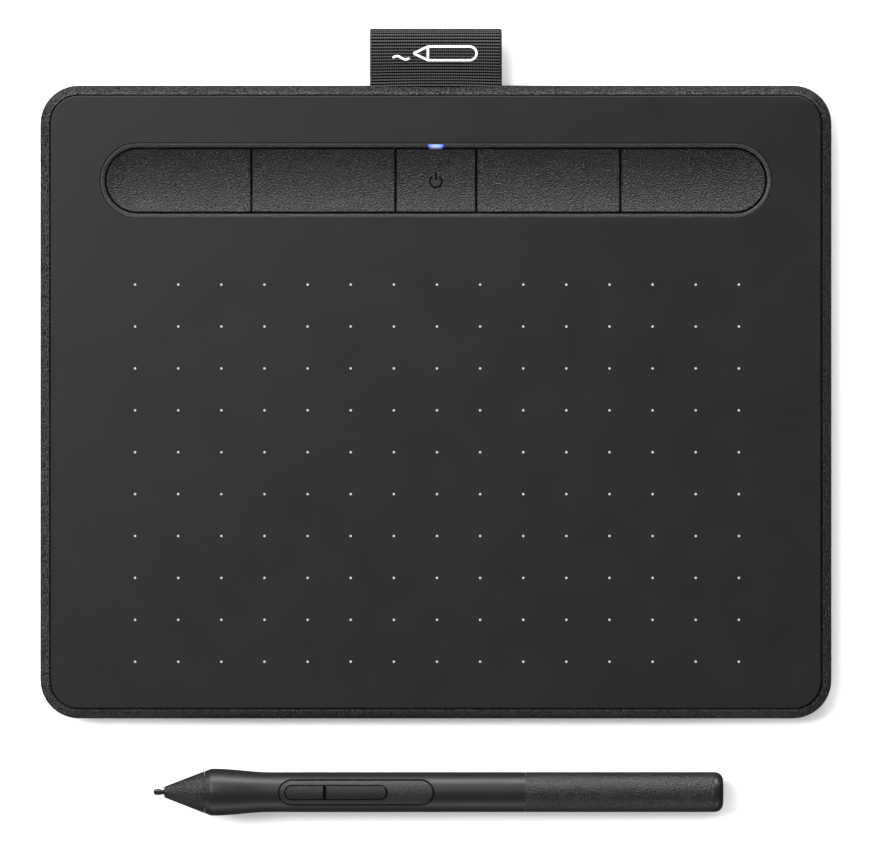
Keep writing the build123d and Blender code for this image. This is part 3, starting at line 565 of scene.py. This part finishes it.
def power_sign_ink():
    """A broken ring and a bar of ink, domed across, lying in the power key's engraving."""
    key_low, key_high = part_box("power_key")
    centre = (key_low + key_high) / 2
    start = math.asin(SIGN_BREAK / 2 / SIGN_RADIUS) + SIGN_STROKE / 2 / SIGN_RADIUS
    sweep = math.tau - 2 * start
    turns = [start + sweep * step / SIGN_RING_STEPS for step in range(SIGN_RING_STEPS + 1)]
    ring = [Vector((SIGN_RADIUS * math.sin(turn), SIGN_RADIUS * math.cos(turn))) for turn in turns]
    bar = [Vector((0, y)) for y in SIGN_BAR]
    profile = ((-0.5, 0.0), (-0.5, 0.75), (-0.2, 1.0), (0.2, 1.0), (0.5, 0.75), (0.5, 0.0))
    ink = bmesh.new()
    for line, count in ((ring, SIGN_RING_STEPS), (bar, SIGN_BAR_STEPS)):
        route = Route(line)
        rows = []
        for step in range(count + 1):
            middle, square = route.at(route.length * step / count)
            rows.append([
                ink.verts.new((
                    centre.x + middle.x + square.x * across * SIGN_STROKE,
                    centre.y - SIGN_DROP + middle.y + square.y * across * SIGN_STROKE,
                    SIGN_INK_BOTTOM + up * (SIGN_INK_TOP - SIGN_INK_BOTTOM),
                ))
                for across, up in profile
            ])
        skin_rows(ink, rows)
    new_piece("power_sign_ink", ink, "symbol_ink", body="power_key")


# ---- fabric pen loop ------------------------------------------------------------------------------
RIBBON_THICKNESS = 0.8 * MM
RIB_PITCH = 0.78 * MM
RIB_STEPS = 8
RIB_RELIEF = 0.30 * MM
RIBBON_COLUMNS = 72
EDGE_WAVE = 0.10 * MM
RIB_BOW = 0.34 * MM
RIB_SHARPNESS = 0.7
BOWED_FROM_FOLD = 9 * MM
SELVAGE_THINNING = 0.45
SELVAGE_INSET = 0.02 * MM
CURVE_STEPS = 60
loop_middle_z = (loop_low.z + loop_high.z) / 2
loop_fold_radius = (loop_high.z - loop_low.z) / 2
loop_half_width = (loop_high.x - loop_low.x) / 2
fold_centre_y = loop_high.y - loop_fold_radius
back_y = case_high.y


def bezier(points, t):
    """The point a share t of the way along a cubic curve."""
    a, b, c, d = points
    s = 1 - t
    return a * s**3 + b * 3 * s * s * t + c * 3 * s * t * t + d * t**3


def ribbon_middle_line():
    """The ribbon's side view: in from the clamp, up to the fold, round it, and back again."""
    layer = RIBBON_THICKNESS / 2
    bend = loop_fold_radius - layer
    upper = [
        Vector((back_y, layer)),
        Vector((back_y + 3.2 * MM, layer)),
        Vector((fold_centre_y - 4.2 * MM, bend)),
        Vector((fold_centre_y, bend)),
    ]
    rise = [bezier(upper, step / CURVE_STEPS) for step in range(CURVE_STEPS + 1)]
    out = [Vector((loop_low.y, layer))] + rise
    turn = [
        Vector((fold_centre_y + bend * math.sin(angle), bend * math.cos(angle)))
        for angle in (math.pi * step / CURVE_STEPS for step in range(1, CURVE_STEPS))
    ]
    back = [Vector((point.x, -point.y)) for point in reversed(out)]
    return [Vector((point.x, point.y + loop_middle_z)) for point in out + turn + back]


ribbon_route = Route(ribbon_middle_line())


def rib_share(distance, across):
    """How high the weave stands at a place, from 0 in a groove to 1 on a rib's crown."""
    middle = ribbon_route.length / 2
    near_case = min(1.0, abs(distance - middle) / (middle - BOWED_FROM_FOLD))
    bow = RIB_BOW * (1 - across * across) * near_case**2
    if distance < middle:
        bow = -bow
    return abs(math.sin(math.pi * (distance + bow) / RIB_PITCH)) ** RIB_SHARPNESS


def fabric_loop():
    """The ribbed ribbon as one closed skin, outside then inside, joined along both selvages."""
    cloth = bmesh.new()
    rib_layer = cloth.verts.layers.float.new(RIB_ATTRIBUTE)
    steps = int(ribbon_route.length / RIB_PITCH * RIB_STEPS)
    outside, inside = [], []
    for step in range(steps + 1):
        distance = ribbon_route.length * step / steps
        centre, square = ribbon_route.at(distance)
        rows = ([], [])
        for column in range(RIBBON_COLUMNS + 1):
            across = -1 + 2 * column / RIBBON_COLUMNS
            share = rib_share(distance, across)
            half_width = loop_half_width - EDGE_WAVE * (1 - share) - SELVAGE_INSET
            height = RIBBON_THICKNESS / 2 - RIB_RELIEF * (1 - share)
            if column in (0, RIBBON_COLUMNS):
                height *= SELVAGE_THINNING
            for row, way in zip(rows, (1, -1)):
                point = centre + square * (way * height)
                vertex = cloth.verts.new((half_width * across, point.x, point.y))
                vertex[rib_layer] = share
                row.append(vertex)
        outside.append(rows[0])
        inside.append(rows[1])
    for skin, flip in ((outside, True), (inside, False)):
        for row, after in zip(skin, skin[1:]):
            for column in range(RIBBON_COLUMNS):
                corners = (row[column], row[column + 1], after[column + 1], after[column])
                cloth.faces.new(tuple(reversed(corners)) if flip else corners)
    for column in (0, RIBBON_COLUMNS):
        for step in range(steps):
            cloth.faces.new((
                outside[step][column], outside[step + 1][column],
                inside[step + 1][column], inside[step][column],
            ))
    for step in (0, steps):
        for column in range(RIBBON_COLUMNS):
            cloth.faces.new((
                outside[step][column], inside[step][column],
                inside[step][column + 1], outside[step][column + 1],
            ))
    bmesh.ops.recalc_face_normals(cloth, faces=cloth.faces)
    for face in cloth.faces:
        face.smooth = True
    loop = new_piece("woven_pen_loop", cloth, "ribbon_fabric")
    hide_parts("pen_loop")


# ---- generic woven mark on the loop: a stylus drawing a line -----------------------------------------
MARK_CENTRE = 8.0 * MM
STROKE_WIDTH = 0.62 * MM
STROKE_HEIGHT = 0.16 * MM
STROKE_STEP = 0.2 * MM


def arc(cx, cy, radius, start, end, count=10):
    """Points of an arc, in millimetres; angles in degrees."""
    return [
        (
            cx + radius * math.cos(math.radians(start + (end - start) * i / count)),
            cy + radius * math.sin(math.radians(start + (end - start) * i / count)),
        )
        for i in range(count + 1)
    ]


def mark_strokes():
    """The strokes of the mark, in millimetres from its centre."""
    body = [(-5.6, 0.0), (-2.0, 1.7), (8.6, 1.7), *arc(8.6, 0.0, 1.7, 90, -90)]
    outline = [*body, (-2.0, -1.7), (-5.6, 0.0)]
    collar = [(-2.0, 1.7), (-2.0, -1.7)]
    wave = [(-10.9 + 0.25 * i, -1.1 + 0.42 * math.sin(i * 0.36)) for i in range(18)]
    return [outline, collar, wave]


def top_of_ribbon(y):
    """Height of the ribbon's upper face at this Y."""
    low, high = 0.0, ribbon_route.length / 2
    for _ in range(30):
        middle = (low + high) / 2
        if ribbon_route.at(middle)[0].x < y:
            low = middle
        else:
            high = middle
    centre, square = ribbon_route.at(low)
    return centre.y + abs(square.y) * RIBBON_THICKNESS / 2


def woven_mark():
    """Raised floss strokes that follow the ribbon's upper face."""
    floss = bmesh.new()
    profile = ((-0.5, -0.35), (-0.42, 0.55), (-0.15, 1.0), (0.15, 1.0), (0.42, 0.55), (0.5, -0.35))
    for stroke in mark_strokes():
        route = Route([Vector((x * MM, y * MM)) for x, y in stroke])
        count = max(2, int(route.length / STROKE_STEP))
        rows = []
        for step in range(count + 1):
            centre, square = route.at(route.length * step / count)
            stitch = 1.0 - 0.12 * (step % 2)
            row = []
            for across, up in profile:
                flat = centre + square * (across * STROKE_WIDTH * stitch)
                y = back_y + MARK_CENTRE + flat.y
                row.append(floss.verts.new((flat.x, y, top_of_ribbon(y) + up * STROKE_HEIGHT * stitch)))
            rows.append(row)
        skin_rows(floss, rows)
    new_piece("woven_mark", floss, "mark_thread")


# ---- floor, lights and camera ---------------------------------------------------------------------------
FLOOR_REACH = 8.0
DIFFUSE_WORLD = 0.72
GLOSSY_WORLD = 0.085
CAMERA_WORLD = 1.0
VIEW_WIDTH = 220.0 * MM
VIEW_CENTRE = (-0.22 * MM, -5.84 * MM)
SENSOR_WIDTH = 36
LENS = 600


def pale_floor():
    """A wide white table top, left out of reflections."""
    mesh = bmesh.new()
    mesh.faces.new([
        mesh.verts.new((x * FLOOR_REACH, y * FLOOR_REACH, 0))
        for x, y in ((-1, -1), (1, -1), (1, 1), (-1, 1))
    ])
    data = bpy.data.meshes.new("floor")
    mesh.to_mesh(data)
    mesh.free()
    shader = Shader("floor_white", (0.9, 0.9, 0.9), 0.9, specular=0.1)
    shader.bump(shader.noise(0.6 * MM), 0.002 * MM)
    data.materials.append(shader.material)
    floor = bpy.data.objects.new("floor", data)
    floor.visible_glossy = False
    bpy.context.scene.collection.objects.link(floor)


def aimed(thing, place, target=(0, 0, 0)):
    """Puts a light in the scene at a place, turned towards the target."""
    thing.location = place
    thing.rotation_euler = (Vector(target) - Vector(place)).to_track_quat("-Z", "Y").to_euler()
    bpy.context.scene.collection.objects.link(thing)


def area_light(name, place, size, power, target=(0, 0, 0)):
    data = bpy.data.lights.new(name, "AREA")
    data.shape = "RECTANGLE"
    data.size, data.size_y = size
    data.energy = power
    aimed(bpy.data.objects.new(name, data), place, target)


def sun_light(name, direction_from, strength, softness):
    data = bpy.data.lights.new(name, "SUN")
    data.energy = strength
    data.angle = math.radians(softness)
    light = bpy.data.objects.new(name, data)
    aimed(light, direction_from)
    return light


def world_light():
    """White to the camera, soft grey to matt surfaces, and dim in reflections."""
    world = bpy.data.worlds.new("studio_world")
    bpy.context.scene.world = world
    world.use_nodes = True
    tree = world.node_tree
    path = tree.nodes.new("ShaderNodeLightPath")
    by_gloss = tree.nodes.new("ShaderNodeMapRange")
    by_gloss.inputs["To Min"].default_value = DIFFUSE_WORLD
    by_gloss.inputs["To Max"].default_value = GLOSSY_WORLD
    tree.links.new(path.outputs["Is Glossy Ray"], by_gloss.inputs["Value"])
    by_camera = tree.nodes.new("ShaderNodeMapRange")
    by_camera.inputs["To Max"].default_value = CAMERA_WORLD
    tree.links.new(path.outputs["Is Camera Ray"], by_camera.inputs["Value"])
    tree.links.new(by_gloss.outputs["Result"], by_camera.inputs["To Min"])
    background = tree.nodes["Background"]
    background.inputs["Color"].default_value = (1, 1, 1, 1)
    tree.links.new(by_camera.outputs["Result"], background.inputs["Strength"])


def studio():
    """Soft light from the back left, long strips behind and in front, and white all round."""
    key = sun_light("soft_sun", (-1.3, 0.45, 1.0), 4.6, 33)
    key.visible_glossy = False
    area_light("left_softbox", (-0.42, 0.34, 0.95), (0.42, 0.42), 5.9, target=(-0.08, 0.06, 0))
    area_light("back_strip", (0.0, 0.95, 0.42), (1.8, 0.36), 21.0)
    area_light("front_strip", (0.0, -0.95, 0.2), (1.8, 0.12), 4.0)
    world_light()
    bpy.context.scene.view_settings.view_transform = "Standard"


def camera():
    """Straight down from far off, through a long lens, so that it shows hardly any perspective."""
    data = bpy.data.cameras.new("camera")
    data.sensor_width = SENSOR_WIDTH
    data.lens = LENS
    eye = bpy.data.objects.new("camera", data)
    distance = VIEW_WIDTH * LENS / SENSOR_WIDTH
    eye.location = (tablet_x + VIEW_CENTRE[0], tablet_y + VIEW_CENTRE[1], cover_low.z + distance)
    data.clip_start = 0.1
    data.clip_end = 20
    bpy.context.scene.collection.objects.link(eye)
    bpy.context.scene.camera = eye


camera()
dress_cad_nodes()
printed_dots()
power_sign_ink()
fabric_loop()
woven_mark()
pale_floor()
studio()
